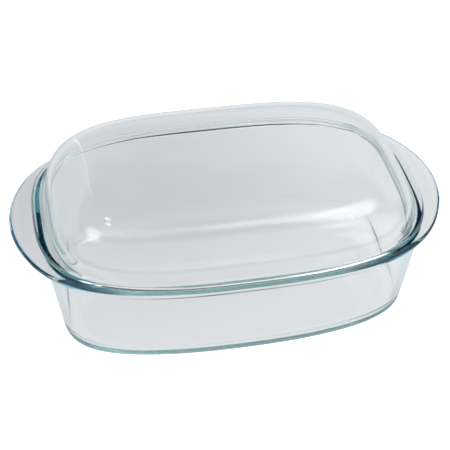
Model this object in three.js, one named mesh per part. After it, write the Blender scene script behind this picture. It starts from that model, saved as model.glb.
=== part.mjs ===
// Covered casserole dish in clear pressed glass: a deep rounded-rectangular dish
// with two crescent wing handles in one piece with its rim, and a domed lid whose
// flange rests on that rim. Millimetres, +Z up, +X along the handles.
// Origin: centre of the footprint, on the flat underside of the dish.
import * as THREE from "three";
import { mergeVertices } from "three/addons/utils/BufferGeometryUtils.js";

const { clamp, degToRad, lerp, radToDeg, smoothstep } = THREE.MathUtils;

// ---- driving dimensions, mm -------------------------------------------------
// An outline is a rounded rectangle with its length along X, its width along Y and
// a roundness exponent n: the higher, the squarer. Wall outlines have two exponents.
const SEGMENTS = 64; // points round each outline, a multiple of 4
const SPACING_OUTLINE = { length: 330, width: 212, n: 3.4 }; // sets the point spacing

// dish
const OVERALL_LENGTH = 380; // over the two wing handles
const RIM = { length: 344, width: 224.6, n: 2.9 }; // without the handles
const RIM_TOP = 97.8; // height of the dish to the top of its rim
const RIM_THICKNESS = 7; // rim and handles
const WALL_TOP = { length: 332.6, width: 213.6, nX: 3.3, nY: 3.3 }; // outside, under the rim
const WALL_FOOT = { length: 308, width: 195, nX: 2.2, nY: 5.3 }; // outside, at the foot radius
const WALL = 5.4; // wall thickness, measured level
const FLOOR = 7.6; // bottom thickness
const FOOT_RADIUS = 16.5; // outside radius between wall and bottom
const INNER_FOOT_RADIUS = 15;
const RIM_FILLET = 1.2; // radius between wall and underside of the rim
const OPENING_ROUND = 1.2; // rounding of the opening's top edge

// rounding of the rim's two edges; on the handles it blends into the handle values
const RIM_LOW_EDGE = { width: 0.5, height: 0.5 };
const RIM_TOP_EDGE = { width: 3.6, height: 4.2 };
const HANDLE_LOW_EDGE = { width: 8.5, height: 4.4 };
const HANDLE_TOP_EDGE = { width: 1.4, height: 1.6 };
const HANDLE_BLEND = 0.6; // exponent of that blend; below 1 the handle values carry further

// extra reach of the handles beyond the rim: degrees from the X axis, reach
const END_REACH = (OVERALL_LENGTH - RIM.length) / 2;
const HANDLE_REACH = [
  [0, END_REACH], [7, 15.9], [14, 11.4], [21, 7.5], [28, 4.2],
  [34, 2.7], [41, 1.2], [50, 0.25], [60, 0], [90, 0],
];

// lid
const REST_GAP = 0.3; // lid flange above the rim, the two never touch
const FLANGE = { length: 340, width: 221.4, n: RIM.n };
const FLANGE_THICKNESS = 3.6;
const FLANGE_TOP_ROUND = { width: 2.4, height: 2.6 }; // rounding of the flange's upper edge
const FLANGE_LOW_ROUND = 0.9; // radius of its lower edge
const FLANGE_MARGIN = 0.4; // least width left between lid wall and the upper rounding
const FLANGE_RING_GAP = 0.1; // keeps the lid wall's fillet short of that rounding
const LID_FOOT = { length: 313.8, width: 215.2, n: 3.43 }; // outside, at the flange
const LID_FLAT = { length: 207.6, width: 107.5, n: 3.56 }; // flat of the lid's top
const LID_TOP = 139; // overall height with the lid on
const LID_CURVE = 2.34; // exponent of the arc from the flange up to the flat
const LID_FILLET = 1.3; // spread of the lid wall as it meets the flange
const LID_WALL = 4.4;
const LID_PLATE = 4.8; // thickness of the lid's top

// locating step under the lid
const STEP_CLEARANCE = 1.3; // to the dish opening
const STEP_DEPTH = 2.5; // below the flange, at the two ends
const STEP_WIDTH = 2.4; // least width for which the step is made
const STEP_ROOT = 0.4; // chamfer between step and flange
const STEP_CORNER = { width: 0.8, height: 0.9 }; // chamfer of the step's lower edges
const STEP_DRAW_IN = 0.4; // extra inset of the lower rings where the step runs out

// ---- outlines ---------------------------------------------------------------
const sine = (degrees) => Math.sin(degToRad(degrees));
const cosine = (degrees) => Math.cos(degToRad(degrees));

const insetBy = (outline, distance) => ({
  ...outline,
  length: outline.length - 2 * distance,
  width: outline.width - 2 * distance,
});

// radius of the outline |x/a|^n + |y/b|^n = 1 at an angle
function roundedRect({ length, width, n }, angle) {
  const alongX = Math.abs(Math.cos(angle)) / (length / 2);
  const alongY = Math.abs(Math.sin(angle)) / (width / 2);
  return Math.pow(Math.pow(alongX, n) + Math.pow(alongY, n), -1 / n);
}

// the same with separate exponents for x and y, solved by Newton's method
function pressedRect({ length, width, nX, nY }, angle) {
  const newtonSteps = 10;
  const alongX = Math.abs(Math.cos(angle)) / (length / 2);
  const alongY = Math.abs(Math.sin(angle)) / (width / 2);
  let radius = roundedRect({ length, width, n: (nX + nY) / 2 }, angle);
  for (let k = 0; k < newtonSteps; k += 1) {
    const termX = Math.pow(alongX * radius, nX);
    const termY = Math.pow(alongY * radius, nY);
    radius -= ((termX + termY - 1) * radius) / (nX * termX + nY * termY);
  }
  return radius;
}

// smooth cubic curve through HANDLE_REACH, mirrored into all four quarters
function handleReach(angle) {
  const degrees = radToDeg(Math.acos(Math.min(1, Math.abs(Math.cos(angle)))));
  const last = HANDLE_REACH.length - 1;
  const slope = (k) => {
    if (k === 0 || k === last) return 0;
    const [degreesBefore, reachBefore] = HANDLE_REACH[k - 1];
    const [degreesAfter, reachAfter] = HANDLE_REACH[k + 1];
    return (reachAfter - reachBefore) / (degreesAfter - degreesBefore);
  };
  let i = 0;
  while (i < last - 1 && degrees > HANDLE_REACH[i + 1][0]) i += 1;
  const [startDegrees, startReach] = HANDLE_REACH[i];
  const [endDegrees, endReach] = HANDLE_REACH[i + 1];
  const span = endDegrees - startDegrees;
  const share = (degrees - startDegrees) / span;
  const endWeight = 3 * share ** 2 - 2 * share ** 3;
  const startSlopeWeight = share ** 3 - 2 * share ** 2 + share;
  const endSlopeWeight = share ** 3 - share ** 2;
  return (1 - endWeight) * startReach + endWeight * endReach
    + span * (startSlopeWeight * slope(i) + endSlopeWeight * slope(i + 1));
}

// angles that space the points evenly along SPACING_OUTLINE
function evenAngles() {
  const fineSteps = 2000;
  const quarterPoints = SEGMENTS / 4;
  const fineAngle = (k) => degToRad((k / fineSteps) * 90);
  const pointAt = (k) => {
    const radius = roundedRect(SPACING_OUTLINE, fineAngle(k));
    return new THREE.Vector2(
      radius * Math.cos(fineAngle(k)),
      radius * Math.sin(fineAngle(k)),
    );
  };
  const arc = [0]; // length along the outline up to each fine step
  for (let k = 1; k <= fineSteps; k += 1) {
    arc.push(arc[k - 1] + pointAt(k).distanceTo(pointAt(k - 1)));
  }
  const quarter = [];
  for (let i = 0; i < quarterPoints; i += 1) {
    const wanted = (i / quarterPoints) * arc[fineSteps];
    quarter.push(fineAngle(arc.findIndex((length) => length >= wanted)));
  }
  const mirrored = quarter.slice(1).reverse().map((angle) => Math.PI - angle);
  const half = [...quarter, Math.PI / 2, ...mirrored];
  return [...half, ...half.map((angle) => angle + Math.PI)];
}
const ANGLES = evenAngles();

// ---- pressed solid ------------------------------------------------------------
// A section is a list of stations from the axis round to the axis. Each station
// has a radius by angle and a height z, which may also vary with the angle.
const onAxis = (z) => ({ z, radius: () => 0 });

function signedVolume(position, triangles) {
  const [a, b, c] = [0, 1, 2].map(() => new THREE.Vector3());
  let volume = 0;
  for (let k = 0; k < triangles.length; k += 3) {
    a.fromBufferAttribute(position, triangles[k]);
    b.fromBufferAttribute(position, triangles[k + 1]);
    c.fromBufferAttribute(position, triangles[k + 2]);
    volume += a.dot(b.cross(c)) / 6;
  }
  return volume;
}

// The lathe only supplies the grid of triangles; every point is then placed.
function pressedSolid(stations) {
  const profile = stations.map((station, j) => new THREE.Vector2(1, j));
  const lathe = new THREE.LatheGeometry(profile, SEGMENTS);
  const lathePosition = lathe.getAttribute("position");
  for (let i = 0; i <= SEGMENTS; i += 1) {
    const angle = ANGLES[i % SEGMENTS];
    stations.forEach((station, j) => {
      const radius = station.radius(angle);
      const z = typeof station.z === "function" ? station.z(angle) : station.z;
      const x = radius * Math.cos(angle);
      const y = radius * Math.sin(angle);
      lathePosition.setXYZ(i * stations.length + j, x, y, z);
    });
  }
  lathe.deleteAttribute("normal");
  lathe.deleteAttribute("uv");
  const solid = mergeVertices(lathe, 1e-4);

  // drop the triangles that collapsed at the axis
  const index = solid.getIndex().array;
  const triangles = [];
  for (let k = 0; k < index.length; k += 3) {
    const [a, b, c] = index.slice(k, k + 3);
    if (a !== b && b !== c && a !== c) triangles.push(a, b, c);
  }
  // turn the faces outwards
  if (signedVolume(solid.getAttribute("position"), triangles) < 0) {
    for (let k = 0; k < triangles.length; k += 3) {
      [triangles[k + 1], triangles[k + 2]] = [triangles[k + 2], triangles[k + 1]];
    }
  }
  solid.setIndex(triangles);
  solid.computeVertexNormals();
  return solid;
}

// ---- dish ---------------------------------------------------------------------
const RIM_UNDER = RIM_TOP - RIM_THICKNESS;
const WALL_TOP_Z = RIM_UNDER - RIM_FILLET;
const INNER_FOOT_Z = FLOOR + INNER_FOOT_RADIUS;
const OUTER_WALL_HEIGHTS = [45, 68]; // rings up the outside of the wall
const INNER_WALL_HEIGHTS = [70, 45]; // rings down its inside
const UNDERSIDE_RING_INSET = 45; // rings in the flat underside and floor,
const FLOOR_RING_INSET = 42; // inwards of where their foot radius ends
const ARC_MIDDLE = 0.29; // share of a radius from its side to the middle of its arc

// outside of the wall at height z, moved inwards by `inset`
function dishWall(z, inset) {
  const rise = (z - FOOT_RADIUS) / (WALL_TOP_Z - FOOT_RADIUS);
  const share = clamp(rise, 0, 1);
  const outline = insetBy({
    length: lerp(WALL_FOOT.length, WALL_TOP.length, rise),
    width: lerp(WALL_FOOT.width, WALL_TOP.width, rise),
    nX: lerp(WALL_FOOT.nX, WALL_TOP.nX, share),
    nY: lerp(WALL_FOOT.nY, WALL_TOP.nY, share),
  }, inset);
  return (angle) => pressedRect(outline, angle);
}

const rimOutline = (angle) => roundedRect(RIM, angle) + handleReach(angle);

// one measure of an edge rounding, blended from rim to handle
function edgeSize(rimSize, handleSize, angle) {
  const share = Math.pow(Math.max(0, handleReach(angle) / END_REACH), HANDLE_BLEND);
  return lerp(rimSize, handleSize, share);
}
const lowEdge = (key, angle) => edgeSize(RIM_LOW_EDGE[key], HANDLE_LOW_EDGE[key], angle);
const topEdge = (key, angle) => edgeSize(RIM_TOP_EDGE[key], HANDLE_TOP_EDGE[key], angle);

const dishOutside = () => [
  onAxis(0),
  { z: 0, radius: dishWall(FOOT_RADIUS, FOOT_RADIUS + UNDERSIDE_RING_INSET) },
  ...[0, 18, 36, 54, 72, 86].map((degrees) => ({
    z: FOOT_RADIUS * (1 - cosine(degrees)),
    radius: dishWall(FOOT_RADIUS, FOOT_RADIUS * (1 - sine(degrees))),
  })),
  ...OUTER_WALL_HEIGHTS.map((z) => ({ z, radius: dishWall(z, 0) })),
  { z: WALL_TOP_Z, radius: dishWall(WALL_TOP_Z, 0) },
  {
    z: WALL_TOP_Z + RIM_FILLET * (1 - ARC_MIDDLE),
    radius: dishWall(WALL_TOP_Z, -RIM_FILLET * ARC_MIDDLE),
  },
  { z: RIM_UNDER, radius: dishWall(WALL_TOP_Z, -RIM_FILLET) },
];

const dishRim = () => [
  ...[0, 30, 60, 90].map((degrees) => ({
    z: (angle) => RIM_UNDER + lowEdge("height", angle) * (1 - cosine(degrees)),
    radius: (angle) => rimOutline(angle) - lowEdge("width", angle) * (1 - sine(degrees)),
  })),
  ...[0, 30, 60, 90].map((degrees) => ({
    z: (angle) => RIM_TOP - topEdge("height", angle) * (1 - sine(degrees)),
    radius: (angle) => rimOutline(angle) - topEdge("width", angle) * (1 - cosine(degrees)),
  })),
];

const dishInside = () => [
  { z: RIM_TOP, radius: dishWall(RIM_TOP, WALL - OPENING_ROUND) },
  {
    z: RIM_TOP - OPENING_ROUND * ARC_MIDDLE,
    radius: dishWall(RIM_TOP, WALL - OPENING_ROUND * ARC_MIDDLE),
  },
  ...[RIM_TOP - OPENING_ROUND, ...INNER_WALL_HEIGHTS].map((z) => ({
    z,
    radius: dishWall(z, WALL),
  })),
  ...[90, 72, 54, 36, 18, 0].map((degrees) => ({
    z: INNER_FOOT_Z - INNER_FOOT_RADIUS * cosine(degrees),
    radius: dishWall(INNER_FOOT_Z, WALL + INNER_FOOT_RADIUS * (1 - sine(degrees))),
  })),
  { z: FLOOR, radius: dishWall(INNER_FOOT_Z, WALL + INNER_FOOT_RADIUS + FLOOR_RING_INSET) },
  onAxis(FLOOR),
];

// ---- lid ----------------------------------------------------------------------
const FLANGE_UNDER = RIM_TOP + REST_GAP;
const FLANGE_TOP = FLANGE_UNDER + FLANGE_THICKNESS;

// the lid's skin between its foot (0 degrees) and the flat of its top (90),
// for a foot moved inwards by `inset` and a top lowered by `drop`
function lidSkin(degrees, inset, drop) {
  const outward = Math.pow(cosine(degrees), 2 / LID_CURVE);
  const upward = Math.pow(sine(degrees), 2 / LID_CURVE);
  const foot = insetBy(LID_FOOT, inset);
  const outline = {
    length: lerp(LID_FLAT.length, foot.length, outward),
    width: lerp(LID_FLAT.width, foot.width, outward),
    n: lerp(LID_FLAT.n, foot.n, outward),
  };
  return {
    z: lerp(FLANGE_TOP, LID_TOP - drop, upward),
    radius: (angle) => roundedRect(outline, angle),
  };
}
const outerSkin = (degrees) => lidSkin(degrees, 0, 0);
const innerSkin = (degrees) => lidSkin(degrees, LID_WALL, LID_PLATE);

const lidOutside = () => [
  onAxis(LID_TOP),
  ...[90, 78, 68, 58, 48, 38, 28, 18, 9].map(outerSkin),
];

function lidFlange() {
  const flange = (inset, angle) => roundedRect(insetBy(FLANGE, inset), angle);
  const foot = outerSkin(4.5);
  // where the flange is narrow, its upper rounding is too
  const topRound = (angle) => Math.min(
    FLANGE_TOP_ROUND.width,
    flange(0, angle) - foot.radius(angle) - FLANGE_MARGIN,
  );
  return [
    ...[0, 45, 90].map((degrees) => ({
      z: lerp(foot.z, FLANGE_TOP, sine(degrees)),
      radius: (angle) => Math.min(
        foot.radius(angle) + LID_FILLET * (1 - cosine(degrees)),
        flange(FLANGE_RING_GAP, angle) - topRound(angle),
      ),
    })),
    ...[90, 45, 0].map((degrees) => ({
      z: FLANGE_TOP - FLANGE_TOP_ROUND.height * (1 - sine(degrees)),
      radius: (angle) => flange(0, angle) - topRound(angle) * (1 - cosine(degrees)),
    })),
    ...[0, 45, 90].map((degrees) => ({
      z: FLANGE_UNDER + FLANGE_LOW_ROUND * (1 - sine(degrees)),
      radius: (angle) => flange(FLANGE_LOW_ROUND * (1 - cosine(degrees)), angle),
    })),
  ];
}

// The locating step stays STEP_CLEARANCE inside the opening; it is full where the
// lid's skin leaves room for it, at the two ends, and runs out along the sides.
function lidStep() {
  const inner = innerSkin(2).radius;
  const opening = dishWall(FLANGE_UNDER - STEP_DEPTH, WALL);
  const room = (angle) => opening(angle) - STEP_CLEARANCE;
  const outer = (angle) => Math.max(room(angle), inner(angle) + STEP_WIDTH);
  const fullness = (angle) =>
    smoothstep(room(angle) - inner(angle), STEP_WIDTH, 2 * STEP_WIDTH);
  const drawIn = (angle) => STEP_DRAW_IN * (1 - fullness(angle));
  // `depth` below the flange where the step is full, `lift` above where there is none
  const stepHeight = (depth, lift = 0) => (angle) =>
    FLANGE_UNDER - depth * fullness(angle) + lift * (1 - fullness(angle));

  const sideDepth = STEP_DEPTH - STEP_CORNER.height;
  const innerEdgeZ = stepHeight(sideDepth, STEP_CORNER.height);
  const skinStart = innerSkin(13);
  return [
    { z: FLANGE_UNDER, radius: (angle) => outer(angle) + STEP_ROOT },
    { z: stepHeight(STEP_ROOT), radius: outer },
    { z: stepHeight(sideDepth), radius: (angle) => outer(angle) - drawIn(angle) },
    {
      z: stepHeight(STEP_DEPTH),
      radius: (angle) => outer(angle) - STEP_CORNER.width - drawIn(angle),
    },
    { z: stepHeight(STEP_DEPTH), radius: (angle) => inner(angle) + STEP_CORNER.width },
    { z: innerEdgeZ, radius: inner },
    // eases the step into the inner skin
    {
      z: (angle) => lerp(innerEdgeZ(angle), skinStart.z, 0.5),
      radius: (angle) => lerp(inner(angle), skinStart.radius(angle), 0.25),
    },
  ];
}

const lidInside = () => [
  ...[13, 20, 28, 38, 48, 58, 68, 78, 90].map(innerSkin),
  onAxis(LID_TOP - LID_PLATE),
];

// ---- the object -----------------------------------------------------------------
const DISH_TINT = 0xcfdcdd;
const LID_TINT = 0xd6dfe0;

const glass = (color) => new THREE.MeshStandardMaterial({
  color,
  roughness: 0.05,
  metalness: 0,
  transparent: true,
  opacity: 0.35,
});

function glassPiece(name, stations, tint) {
  const mesh = new THREE.Mesh(pressedSolid(stations), glass(tint));
  mesh.name = name;
  return mesh;
}

const group = new THREE.Group();
group.add(
  glassPiece("dish", [...dishOutside(), ...dishRim(), ...dishInside()], DISH_TINT),
  glassPiece("lid", [...lidOutside(), ...lidFlange(), ...lidStep(), ...lidInside()], LID_TINT),
);

export default group;
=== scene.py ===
# A pressed-glass oven dish with its glass lid: two closed bodies, each lofted from rings.
# The dish stands on z = 0, centred on the z axis. Its length and the two end handles lie
# along x, its width along y. The front is -y, the left -x.
import math

import bmesh
import bpy
import numpy as np
from mathutils import Matrix, Vector


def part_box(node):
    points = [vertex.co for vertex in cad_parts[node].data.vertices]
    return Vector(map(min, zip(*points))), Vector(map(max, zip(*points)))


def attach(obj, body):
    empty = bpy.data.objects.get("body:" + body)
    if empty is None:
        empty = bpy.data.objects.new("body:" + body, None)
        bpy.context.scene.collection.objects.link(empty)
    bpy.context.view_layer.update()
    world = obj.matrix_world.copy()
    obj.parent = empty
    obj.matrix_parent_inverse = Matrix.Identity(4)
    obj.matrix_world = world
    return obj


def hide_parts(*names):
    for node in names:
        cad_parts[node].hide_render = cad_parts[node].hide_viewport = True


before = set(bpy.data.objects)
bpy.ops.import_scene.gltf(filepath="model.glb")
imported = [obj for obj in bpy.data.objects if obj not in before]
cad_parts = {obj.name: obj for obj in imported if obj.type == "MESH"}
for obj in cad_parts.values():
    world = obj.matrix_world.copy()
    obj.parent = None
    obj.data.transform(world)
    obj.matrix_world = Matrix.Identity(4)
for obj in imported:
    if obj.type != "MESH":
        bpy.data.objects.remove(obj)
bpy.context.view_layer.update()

MM = 0.001

# ---------------------------------------------------------------- dish, mm
dish_low, dish_high = [np.array(v, float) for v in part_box("dish")]
lid_low, lid_high = [np.array(v, float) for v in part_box("lid")]
DISH_L = (dish_high[0] - dish_low[0]) / MM       # over the handles
DISH_W = (dish_high[1] - dish_low[1]) / MM
RIM_TOP = dish_high[2] / MM

# Handle outline: angle from the x axis in degrees, reach beyond the plain rim
HANDLE_ANGLES = np.radians([0, 7, 14, 21, 28, 34, 41, 50, 60, 90])
HANDLE_REACH = np.array([18, 15.9, 11.4, 7.5, 4.2, 2.7, 1.2, 0.25, 0, 0])

RIM_L = DISH_L - 2 * HANDLE_REACH[0]             # without the handles
RIM_EXPONENT = 2.9
RIM_T = 7.0
# Wall outlines: length, width, exponent along the length, exponent across it
WALL_TOP = (RIM_L - 11.4, DISH_W - 11.0, 3.3, 3.3)
WALL_FOOT = (DISH_L - 72.0, DISH_W - 29.6, 2.2, 5.3)
FOOT_R = 16.5
FILLET = 1.2                                     # under the rim
EDGE_LOW = 0.5                                   # lower rounding of the rim, width and height
HANDLE_LOW_W, HANDLE_LOW_H = 8.0, 3.9            # added to it on the handles
EDGE_TOP_W, EDGE_TOP_H = 3.6, 4.2                # upper rounding of the rim
HANDLE_TOP_W, HANDLE_TOP_H = 1.4, 1.6            # the same on the handles
WALL = 5.4
FLOOR_T = 7.6
INNER_R = 15.0
LIP = 1.2                                        # rounding of the opening's edge

# ---------------------------------------------------------------- lid, mm
LID_TOP = lid_high[2] / MM
FLANGE_L = (lid_high[0] - lid_low[0]) / MM
FLANGE_W = (lid_high[1] - lid_low[1]) / MM
GAP = 0.3                                        # between rim and flange
FLANGE_EXPONENT = 2.9
FLANGE_T = 3.6
FLANGE_LOW = RIM_TOP + GAP
FLANGE_HIGH = FLANGE_LOW + FLANGE_T
# Skin outlines: length, width, exponent
LID_FOOT = (FLANGE_L - 26.2, FLANGE_W - 6.2, 3.43)
LID_FLAT = (FLANGE_L - 132.4, FLANGE_W - 113.9, 3.56)
LID_CURVE = 2.34                                 # exponent of the skin's profile
SKIN_FOOT = 4.5                                  # profile degrees where the outer skin ends
SKIN_INNER = 13                                  # and where the inner skin begins
INNER_FOOT = 2                                   # and of the inner foot's outline
FLANGE_FILLET = 1.3
FILLET_MIN_H = 0.6
UPPER_H, UPPER_W = 2.6, 2.4                      # upper rounding of the flange's edge
LOWER_H, LOWER_W = 0.9, 0.9                      # lower rounding of the flange's edge
FLANGE_SPARE = 0.4                               # left between skin and upper rounding
FILLET_SPARE = 0.1                               # left between fillet and upper rounding
LID_WALL = 4.4
LID_PLATE = 4.8
STEP_CLEAR = 1.3                                 # from the step to the dish's inner wall
STEP_D = 2.5
STEP_MIN_W = 2.4
STEP_ROOT = 0.4                                  # rounding between flange and step
STEP_EDGE_W, STEP_EDGE_H = 0.8, 0.9              # rounding of the step's lower edges

# ---------------------------------------------------------------- glass and light levels
DISH_TINT = (0.84, 0.942, 0.973)                 # picked up at every reflection in the glass
LID_TINT = (0.92, 0.955, 0.958)
# Darker, greyer tint in the foot: painted shade for the dark line along the bottom edge
FOOT_TINT_PAINTED_SHADE = (0.80, 0.84, 0.86)
ABSORB = (2.7, 1.1, 1.15)                        # red, green and blue, per metre
ABSORB_DENSITY = 10.0
GLASS_IOR = 1.48
DARK = (0.001, 0.009, 0.025)                     # unlit part of the studio, deep blue
SWEEP_EDGE = (0.2, 0.2 + 0.3)                    # sweep's soft side, cosine from straight behind
FLOOR_SEEN = 0.81                                # floor level as the glass sees it
SHADE = 0.80                                     # level left in the soft shadow's middle
SHADE_AT = (-0.09, 0.20)                         # its place on the floor, metres
FRONT = 1.0
BACK = 0.6
BACK_LEFT = 0.12                                 # extra level left of the sweep's joint
BACK_TOP = 0.59                                  # height of the sweep behind, as a sine
JOINT = 0.9                                      # level of the bright joint
JOINT_AT = -0.181                                # its place, cosine from the x axis
# Tall strips in front, right: azimuths from the x axis in degrees, top as a sine, level
STRIPS = (
    (-54.0, -42.0, 0.70, 0.8),
    (-34.0, -18.0, 0.80, 0.4),
)
# Round panels: direction, inner and outer radius in degrees, level
PANELS = (
    ((-0.475, 0.285, 0.833), 3.0, 10.0, 2.2),    # large, left
    ((-0.56, 0.13, 0.815), 3.0, 10.0, 2.2),
    ((-0.139, 0.562, 0.816), 0.5, 1.2, 6.0),     # two small lamps behind, two panels each
    ((-0.117, 0.561, 0.820), 0.5, 1.2, 6.0),
    ((-0.179, 0.466, 0.866), 0.5, 1.2, 6.0),
    ((-0.157, 0.466, 0.870), 0.5, 1.2, 6.0),
    ((0.41, -0.15, 0.90), 2.0, 9.0, 1.4),        # window, right
    ((0.43, 0.20, 0.88), 5.0, 15.0, 3.0),
    ((0.25, 0.30, 0.92), 3.0, 9.0, 1.4),
    ((0.16, 0.30, 0.94), 1.0, 8.0, 0.6),         # overhead row, from right to left
    ((0.05, 0.30, 0.95), 1.0, 10.0, 0.55),
    ((-0.10, 0.25, 0.96), 1.0, 12.0, 0.6),
    ((-0.24, 0.23, 0.94), 1.0, 12.0, 0.6),
)


# ---------------------------------------------------------------- outlines
RING_POINTS = 320
SPACING_OUTLINE = (330, 212, 3.4)                # typical length, width and exponent
DISC_STEPS = (0.18, 0.4, 0.62, 0.8, 0.93)        # rings that fill a flat, from the axis out


def mix(a, b, share):
    return a + (b - a) * share


def superellipse(angle, length, width, exponent):
    """Radius of the outline at each angle."""
    u = np.abs(np.cos(angle)) / (length / 2)
    v = np.abs(np.sin(angle)) / (width / 2)
    return (u ** exponent + v ** exponent) ** (-1.0 / exponent)


def two_exponent_outline(length, width, along, across):
    """Superellipse with one exponent along x and another along y, by Newton steps."""
    u = np.abs(np.cos(ANGLES)) / (length / 2)
    v = np.abs(np.sin(ANGLES)) / (width / 2)
    mean = (along + across) / 2
    radius = (u ** mean + v ** mean) ** (-2.0 / (along + across))
    for _ in range(10):
        a = (u * radius) ** along
        b = (v * radius) ** across
        radius = radius - (a + b - 1) * radius / (along * a + across * b)
    return radius


def ring_angles():
    """Angles that space the points evenly along a typical outline."""
    angle = np.linspace(0, 2 * np.pi, 40001)
    radius = superellipse(angle, *SPACING_OUTLINE)
    x, y = radius * np.cos(angle), radius * np.sin(angle)
    run = np.concatenate([[0], np.cumsum(np.hypot(np.diff(x), np.diff(y)))])
    return np.interp(np.arange(RING_POINTS) / RING_POINTS * run[-1], run, angle)


def handle_reach():
    """Smooth cubic curve through the handle table, mirrored to all four quarters."""
    table, reach = HANDLE_ANGLES, HANDLE_REACH
    angle = np.arccos(np.clip(np.abs(np.cos(ANGLES)), 0, 1))
    last = len(table) - 1
    slope = np.zeros(last + 1)
    slope[1:last] = (reach[2:] - reach[:-2]) / (table[2:] - table[:-2])
    i = np.clip(np.searchsorted(table, angle, side="right") - 1, 0, last - 1)
    span = table[i + 1] - table[i]
    s = (angle - table[i]) / span
    return ((2 * s ** 3 - 3 * s ** 2 + 1) * reach[i]
            + (s ** 3 - 2 * s ** 2 + s) * span * slope[i]
            + (-2 * s ** 3 + 3 * s ** 2) * reach[i + 1]
            + (s ** 3 - s ** 2) * span * slope[i + 1])


ANGLES = ring_angles()
REACH = handle_reach()
HANDLE = np.clip(REACH / HANDLE_REACH[0], 0, 1) ** 0.6      # 1 at a handle's tip, 0 off it
RIM = superellipse(ANGLES, RIM_L, DISH_W, RIM_EXPONENT) + REACH


def dish_wall(z, inset):
    """Outline of the dish's outer wall at a height, moved inwards by inset."""
    share = (z - FOOT_R) / (RIM_TOP - RIM_T - FILLET - FOOT_R)
    clamped = min(1, max(0, share))
    return two_exponent_outline(mix(WALL_FOOT[0], WALL_TOP[0], share) - 2 * inset,
                                mix(WALL_FOOT[1], WALL_TOP[1], share) - 2 * inset,
                                mix(WALL_FOOT[2], WALL_TOP[2], clamped),
                                mix(WALL_FOOT[3], WALL_TOP[3], clamped))


def lid_skin(degrees, inset=0, drop=0):
    """Height and outline of the lid's skin, from its foot (0) to the flat of its top (90)."""
    out = max(0.0, math.cos(math.radians(degrees))) ** (2 / LID_CURVE)
    up = math.sin(math.radians(degrees)) ** (2 / LID_CURVE)
    outline = superellipse(ANGLES,
                           mix(LID_FLAT[0], LID_FOOT[0] - 2 * inset, out),
                           mix(LID_FLAT[1], LID_FOOT[1] - 2 * inset, out),
                           mix(LID_FLAT[2], LID_FOOT[2], out))
    return mix(FLANGE_HIGH, LID_TOP - drop, up), outline


def arc(start, end, steps):
    """Sine and cosine at even steps between two angles in degrees."""
    return [(math.sin(a), math.cos(a)) for a in np.radians(np.linspace(start, end, steps))]


def disc(z, outline):
    return [(z, outline * f) for f in DISC_STEPS]


# ---------------------------------------------------------------- rings: (height, radii)
def dish_rings():
    """From the middle of the underside, out over the rim, to the middle of the floor."""
    under = RIM_TOP - RIM_T
    wall_top = under - FILLET
    rings = disc(0.0, dish_wall(FOOT_R, FOOT_R))                 # flat underside
    rings += [(FOOT_R * (1 - cos), dish_wall(FOOT_R, FOOT_R * (1 - sin)))
              for sin, cos in arc(0, 90, 22)]                    # outer foot radius
    rings += [(z, dish_wall(z, 0)) for z in np.linspace(FOOT_R, wall_top, 12)[1:]]
    rings += [(wall_top + FILLET * sin, dish_wall(wall_top, -FILLET * (1 - cos)))
              for sin, cos in arc(0, 90, 8)[1:]]                 # fillet under the rim

    root = dish_wall(wall_top, -FILLET)
    low_w = EDGE_LOW + HANDLE_LOW_W * HANDLE
    low_h = EDGE_LOW + HANDLE_LOW_H * HANDLE
    rings += [(under, mix(root, RIM - low_w, f)) for f in (0.33, 0.66)]
    rings += [(under + low_h * (1 - cos), RIM - low_w * (1 - sin))
              for sin, cos in arc(0, 90, 10)]                    # lower edge of the rim
    top_w = mix(EDGE_TOP_W, HANDLE_TOP_W, HANDLE)
    top_h = mix(EDGE_TOP_H, HANDLE_TOP_H, HANDLE)
    rings += [(RIM_TOP - top_h + top_h * sin, RIM - top_w * (1 - cos))
              for sin, cos in arc(0, 90, 20)]                    # upper edge of the rim
    lip = dish_wall(RIM_TOP, WALL - LIP)
    rings += [(RIM_TOP, mix(RIM - top_w, lip, f)) for f in (0.33, 0.66)]
    rings += [(RIM_TOP - LIP * (1 - cos), dish_wall(RIM_TOP, WALL - LIP + LIP * sin))
              for sin, cos in arc(0, 90, 8)]                     # edge of the opening

    wall_low = FLOOR_T + INNER_R
    rings += [(z, dish_wall(z, WALL)) for z in np.linspace(RIM_TOP - LIP, wall_low, 12)[1:]]
    rings += [(wall_low - INNER_R * cos, dish_wall(wall_low, WALL + INNER_R * (1 - sin)))
              for sin, cos in arc(90, 0, 18)[1:]]                # inner foot radius
    return rings + disc(FLOOR_T, dish_wall(wall_low, WALL + INNER_R))[::-1]


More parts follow.
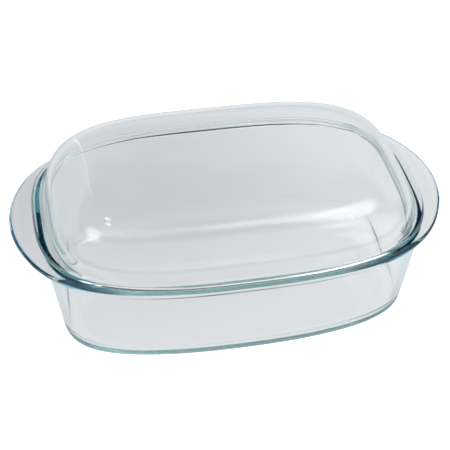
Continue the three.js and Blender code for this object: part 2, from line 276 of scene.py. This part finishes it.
def lid_rings():
    """From the middle of the top, out round the flange, to the middle of the inside."""
    rings = disc(LID_TOP, lid_skin(90)[1])
    rings += [lid_skin(a) for a in np.linspace(90, SKIN_FOOT, 44)]

    foot_z, foot = lid_skin(SKIN_FOOT)
    flange = superellipse(ANGLES, FLANGE_L, FLANGE_W, FLANGE_EXPONENT)
    fillet_h = max(FILLET_MIN_H, foot_z - FLANGE_HIGH)
    upper_w = np.minimum(UPPER_W, flange - foot - FLANGE_SPARE)  # narrow at the corners
    rings += [(FLANGE_HIGH + fillet_h - fillet_h * sin,
               np.minimum(foot + FLANGE_FILLET * (1 - cos), flange - upper_w - FILLET_SPARE))
              for sin, cos in arc(0, 90, 7)[1:]]                 # fillet on the flange
    rings += [(FLANGE_HIGH - UPPER_H + UPPER_H * sin, flange - upper_w + upper_w * cos)
              for sin, cos in arc(90, 0, 8)]                     # upper edge of the flange
    rings += [(FLANGE_LOW + LOWER_H - LOWER_H * sin, flange - LOWER_W * (1 - cos))
              for sin, cos in arc(0, 90, 10)[1:]]                # lower edge of the flange

    # The step fades out where it would not fit between the inner foot and the opening
    inner = lid_skin(INNER_FOOT, LID_WALL, LID_PLATE)[1]
    step = dish_wall(FLANGE_LOW - STEP_D, WALL) - STEP_CLEAR
    fade = np.clip((step - inner - STEP_MIN_W) / STEP_MIN_W, 0, 1)
    fade = fade * fade * (3 - 2 * fade)
    step = np.maximum(step, inner + STEP_MIN_W)

    def step_z(sin):
        return FLANGE_LOW - (STEP_D - STEP_EDGE_H + STEP_EDGE_H * sin) * fade

    rings.append((FLANGE_LOW, mix(flange - LOWER_W, step + STEP_ROOT, 0.5)))
    rings += [(FLANGE_LOW - (STEP_ROOT - STEP_ROOT * sin) * fade, step + STEP_ROOT * (1 - cos))
              for sin, cos in arc(90, 0, 5)]                     # root of the step
    rings += [(step_z(sin), step - STEP_EDGE_W * (1 - cos) - STEP_ROOT * (1 - fade))
              for sin, cos in arc(0, 90, 7)]                     # outer edge of the step
    rings += [(step_z(sin) + STEP_EDGE_H * (1 - sin) * (1 - fade),
               inner + STEP_EDGE_W * (1 - cos))
              for sin, cos in arc(90, 0, 7)]                     # inner edge of the step

    start_z = rings[-1][0]
    skin_z, skin = lid_skin(SKIN_INNER, LID_WALL, LID_PLATE)
    rings += [(mix(start_z, skin_z, f), mix(inner, skin, f ** 2))
              for f in np.linspace(0, 1, 10)[1:-1]]              # inner foot into the skin
    rings += [lid_skin(a, LID_WALL, LID_PLATE) for a in np.linspace(SKIN_INNER, 90, 40)]
    return rings + disc(LID_TOP - LID_PLATE, lid_skin(90, LID_WALL, LID_PLATE)[1])[::-1]


# ---------------------------------------------------------------- one closed glass body
def glass_body(name, rings):
    """Loft the rings and close the first and the last on the axis."""
    cos, sin = np.cos(ANGLES), np.sin(ANGLES)
    verts = [(0, 0, rings[0][0] * MM)]
    starts = []
    for z, radii in rings:
        starts.append(len(verts))
        heights = np.broadcast_to(np.asarray(z, float), radii.shape)
        verts.extend(zip(radii * cos * MM, radii * sin * MM, heights * MM))
    last = len(verts)
    verts.append((0, 0, rings[-1][0] * MM))

    pairs = [(k, (k + 1) % RING_POINTS) for k in range(RING_POINTS)]
    faces = []
    for k, after in pairs:
        faces.append((0, starts[0] + after, starts[0] + k))
        faces.append((last, starts[-1] + k, starts[-1] + after))
    for a, b in zip(starts[:-1], starts[1:]):
        faces += [(a + k, a + after, b + after, b + k) for k, after in pairs]

    mesh = bpy.data.meshes.new(name)
    mesh.from_pydata([tuple(float(x) for x in v) for v in verts], [], faces)
    mesh.validate()
    bm = bmesh.new()
    bm.from_mesh(mesh)
    bmesh.ops.recalc_face_normals(bm, faces=bm.faces)
    if bm.calc_volume(signed=True) < 0:          # refraction needs the normals outwards
        bmesh.ops.reverse_faces(bm, faces=bm.faces)
    bm.to_mesh(mesh)
    bm.free()

    # Normals weighted by face area, so that flats stay optically flat up to their edges
    normals = np.zeros((len(mesh.vertices), 3))
    for face in mesh.polygons:
        face.use_smooth = True
    for face in mesh.polygons:
        normals[list(face.vertices)] += np.array(face.normal) * face.area
    normals /= np.linalg.norm(normals, axis=1)[:, None]
    mesh.normals_split_custom_set_from_vertices([tuple(map(float, v)) for v in normals])
    body = bpy.data.objects.new(name, mesh)
    bpy.context.scene.collection.objects.link(body)
    return body


# ---------------------------------------------------------------- shader nodes
class Nodes:
    """Adds nodes to the emptied tree of a material or world."""

    def __init__(self, owner):
        owner.use_nodes = True
        self.tree = owner.node_tree
        self.tree.nodes.clear()

    def node(self, kind, inputs=None, **settings):
        """New node; an input is given either a value or an output socket to link."""
        made = self.tree.nodes.new("ShaderNode" + kind)
        for key, value in settings.items():
            setattr(made, key, value)
        for key, value in (inputs or {}).items():
            if hasattr(value, "links"):
                self.tree.links.new(value, made.inputs[key])
            else:
                made.inputs[key].default_value = value
        return made

    def out(self, kind, inputs=None, output=0, **settings):
        """The same, but returns one of its output sockets."""
        return self.node(kind, inputs, **settings).outputs[output]

    def math(self, operation, a, b=None):
        inputs = {0: a} if b is None else {0: a, 1: b}
        return self.out("Math", inputs, operation=operation)

    def plus(self, a, b):
        return self.math("ADD", a, b)

    def times(self, a, b):
        return self.math("MULTIPLY", a, b)

    def ease(self, value, over, to=(0.0, 1.0)):
        """Smooth step between the two values of `to` as value crosses `over`."""
        inputs = {"From Min": over[0], "From Max": over[1],
                  "To Min": to[0], "To Max": to[1], "Value": value}
        return self.out("MapRange", inputs, "Result", interpolation_type="SMOOTHSTEP")

    def mix_shader(self, factor, a, b):
        return self.out("MixShader", {0: factor, 1: a, 2: b})

    def over_dark(self, level):
        """Colour of a grey level on top of the dark studio."""
        return self.out("CombineColor",
                        {i: self.plus(level, least) for i, least in enumerate(DARK)})


def glass_material(name, inner_tint):
    """Clear pressed glass: refraction and reflection mixed by Fresnel; rays guided inside
    the glass pick up the blue-green of a thick section, deepened at the ends and in the foot as
    painted shade."""
    material = bpy.data.materials.new(name)
    n = Nodes(material)
    place = n.out("TexCoord", output="Object")

    # Slow waviness of pressed glass
    broad = n.out("TexNoise", {"Scale": 16.0, "Detail": 1.0, "Vector": place}, "Fac")
    bump = n.out("Bump", {"Strength": 0.25, "Distance": 0.0012, "Height": broad})
    # Fine, faint polish marks
    fine = n.out("TexNoise", {"Scale": 220.0, "Detail": 3.0, "Vector": place}, "Fac")
    rough = n.out("MapRange", {"From Min": 0.35, "From Max": 0.75,
                               "To Min": 0.0, "To Max": 0.03, "Value": fine}, "Result")

    # Reflection tint inside the glass: the glass's own blue-green, made deeper towards the ends
    # and darker and greyer in the foot as painted shade
    inside = n.out("NewGeometry", output="Backfacing")
    x, _, z = n.node("SeparateXYZ", {0: place}).outputs
    # Painted shade: the tint is full at the ends and only 6 % along the long sides, for the dark
    # stripes at the ends
    ends_painted_shade_mask = n.ease(n.math("ABSOLUTE", x), over=(0.10, 0.15), to=(0.06, 1.0))
    # Painted shade: below 30 mm the foot's darker tint takes the place of the glass tint,
    # blending up to 60 mm
    tint_by_height_painted_shade = n.out("Mix", {"A": (*FOOT_TINT_PAINTED_SHADE, 1), "B": (*inner_tint, 1),
                              "Factor": n.ease(z, over=(0.03, 0.06))},
                      "Result", data_type="RGBA")
    # Glass tint plus painted shade, applied only to reflections inside the glass
    glass_tint_and_painted_shade = n.out("Mix", {"A": (1, 1, 1, 1), "B": tint_by_height_painted_shade, "Factor": n.times(inside, ends_painted_shade_mask)},
                 "Result", data_type="RGBA")

    finish = {"Roughness": rough, "Normal": bump}
    through = n.out("BsdfRefraction", {"IOR": GLASS_IOR, **finish})
    mirror = n.out("BsdfGlossy", {"Color": glass_tint_and_painted_shade, **finish})
    fresnel = n.out("Fresnel", {"IOR": GLASS_IOR, "Normal": bump})
    glass = n.mix_shader(fresnel, through, mirror)

    # Shadow rays pass straight through
    clear = n.out("BsdfTransparent", {"Color": (0.93, 0.95, 0.95, 1)})
    surface = n.mix_shader(n.out("LightPath", output="Is Shadow Ray"), glass, clear)
    volume = n.out("VolumeAbsorption",
                   {"Color": (*(1 - v / ABSORB_DENSITY for v in ABSORB), 1),
                    "Density": ABSORB_DENSITY})
    n.node("OutputMaterial", {"Surface": surface, "Volume": volume})
    return material


# ---------------------------------------------------------------- floor
def floor_material():
    """White to the camera; the glass sees a lit grey paper sweep in a dark studio."""
    material = bpy.data.materials.new("pale_floor")
    n = Nodes(material)
    x, y, _ = n.node("SeparateXYZ", {0: n.out("NewGeometry", output="Position")}).outputs
    radius = n.math("SQRT", n.plus(n.times(x, x), n.times(y, y)))
    behind = n.ease(n.math("DIVIDE", y, radius), over=SWEEP_EDGE)
    near = n.ease(radius, over=(0.75, 1.6), to=(1.0, 0.0))
    lit = n.times(n.math("MAXIMUM", behind, near), FLOOR_SEEN)

    # Soft shadow behind the dish
    squares = [n.math("POWER", n.math("ABSOLUTE", n.math("SUBTRACT", axis, middle)), 2.0)
               for axis, middle in zip((x, y), SHADE_AT)]
    away = n.math("SQRT", n.plus(*squares))
    lit = n.times(lit, n.ease(away, over=(0.05, 0.32), to=(SHADE, 1.0)))

    seen = n.out("Emission", {"Color": n.over_dark(lit)})
    paper = n.out("BsdfDiffuse", {"Color": (0.9, 0.9, 0.9, 1)})
    glow = n.out("Emission", {"Strength": 0.75})
    white = n.out("AddShader", {0: paper, 1: glow})
    surface = n.mix_shader(n.out("LightPath", output="Is Camera Ray"), seen, white)
    n.node("OutputMaterial", {"Surface": surface})
    return material


def studio_floor(half=12.0, z=-0.0004):
    mesh = bpy.data.meshes.new("studio_floor")
    corners = [(-half, -half, z), (half, -half, z), (half, half, z), (-half, half, z)]
    mesh.from_pydata(corners, [], [(0, 1, 2, 3)])
    floor = bpy.data.objects.new("studio_floor", mesh)
    bpy.context.scene.collection.objects.link(floor)
    mesh.materials.append(floor_material())
    return floor


# ---------------------------------------------------------------- studio light
def studio_world():
    """Dark studio with soft lights, drawn by direction; plain white to the camera."""
    world = bpy.data.worlds.new("studio")
    bpy.context.scene.world = world
    n = Nodes(world)
    direction = n.out("TexCoord", output="Generated")
    x, y, z = n.node("SeparateXYZ", {0: direction}).outputs

    front = n.times(n.ease(y, over=(-0.15, 0.12), to=(FRONT, 0.0)),
                    n.ease(z, over=(0.02, 0.20)))

    # Sweep behind, brighter left of a bright upright joint
    flat = n.math("SQRT", n.plus(n.times(x, x), n.times(y, y)))
    behind = n.ease(n.math("DIVIDE", y, flat), over=SWEEP_EDGE, to=(0.0, BACK))
    back = n.times(behind, n.ease(z, over=(BACK_TOP, BACK_TOP + 0.05), to=(1.0, 0.0)))
    lean = n.math("DIVIDE", x, flat)
    left = n.times(n.ease(lean, over=(JOINT_AT - 0.005, JOINT_AT + 0.005), to=(1.0, 0.0)),
                   n.ease(y, over=(0.0, 0.25)))
    left = n.times(left, n.ease(z, over=(0.62, 0.72), to=(BACK_LEFT, 0.0)))
    off_joint = n.math("ABSOLUTE", n.plus(lean, -JOINT_AT))
    joint = n.times(n.ease(off_joint, over=(0.004, 0.012), to=(JOINT, 0.0)),
                    n.ease(y, over=(0.6, 0.7)))
    joint = n.times(joint, n.ease(z, over=(0.64, 0.68), to=(1.0, 0.0)))
    level = n.plus(n.plus(n.plus(front, back), left), joint)

    azimuth = n.math("ARCTAN2", y, x)
    for low, high, top, strength in STRIPS:
        middle, half = math.radians((low + high) / 2), math.radians((high - low) / 2)
        off = n.math("ABSOLUTE", n.math("SUBTRACT", azimuth, middle))
        level = n.plus(level, n.times(
            n.ease(off, over=(half * 0.6, half * 1.4), to=(strength, 0.0)),
            n.ease(z, over=(top, top + 0.15), to=(1.0, 0.0))))

    for towards, inner, outer, strength in PANELS:
        dot = n.out("VectorMath", {0: direction, 1: Vector(towards).normalized()},
                    "Value", operation="DOT_PRODUCT")
        edge = (math.cos(math.radians(outer)), math.cos(math.radians(inner)))
        level = n.plus(level, n.ease(dot, over=edge, to=(0.0, strength)))

    studio = n.out("Background", {"Color": n.over_dark(level)})
    white = n.out("Background", {"Color": (1, 1, 1, 1)})
    surface = n.mix_shader(n.out("LightPath", output="Is Camera Ray"), studio, white)
    n.node("OutputWorld", {"Surface": surface})


# ---------------------------------------------------------------- camera
def studio_camera():
    """Looks down from the front, slightly from the left."""
    azimuth, height, roll = [math.radians(v) for v in (-12.119, 40.928, 1.504)]
    target = Vector((-0.61, 4.35, 63.0)) * MM
    distance = 1.1
    back = Vector((math.sin(azimuth) * math.cos(height),
                   -math.cos(azimuth) * math.cos(height), math.sin(height)))
    level_x = Vector((0, 0, 1)).cross(back).normalized()
    level_y = back.cross(level_x)
    right = level_x * math.cos(roll) + level_y * math.sin(roll)
    up = -level_x * math.sin(roll) + level_y * math.cos(roll)

    data = bpy.data.cameras.new("camera")
    data.sensor_width = 36.0
    data.sensor_fit = "HORIZONTAL"
    data.lens = 97.936
    data.clip_start = 0.05
    data.clip_end = 60
    camera = bpy.data.objects.new("camera", data)
    matrix = Matrix((right, up, back)).transposed().to_4x4()
    matrix.translation = target + back * distance
    camera.matrix_world = matrix
    bpy.context.scene.collection.objects.link(camera)
    bpy.context.scene.camera = camera


# ---------------------------------------------------------------- build
dish = glass_body("dish_glass_body", dish_rings())
lid = glass_body("lid_glass_body", lid_rings())
dish.data.materials.append(glass_material("pressed_glass_dish", DISH_TINT))
lid.data.materials.append(glass_material("pressed_glass_lid", LID_TINT))

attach(dish, "dish")
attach(lid, "lid")
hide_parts("dish")
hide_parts("lid")

studio_floor()
studio_world()
studio_camera()

scene = bpy.context.scene
scene.view_settings.view_transform = "Standard"
scene.view_settings.look = "None"
# Light is guided a long way inside the glass
scene.cycles.max_bounces = 96
scene.cycles.transmission_bounces = 96
scene.cycles.glossy_bounces = 96
scene.cycles.transparent_max_bounces = 24
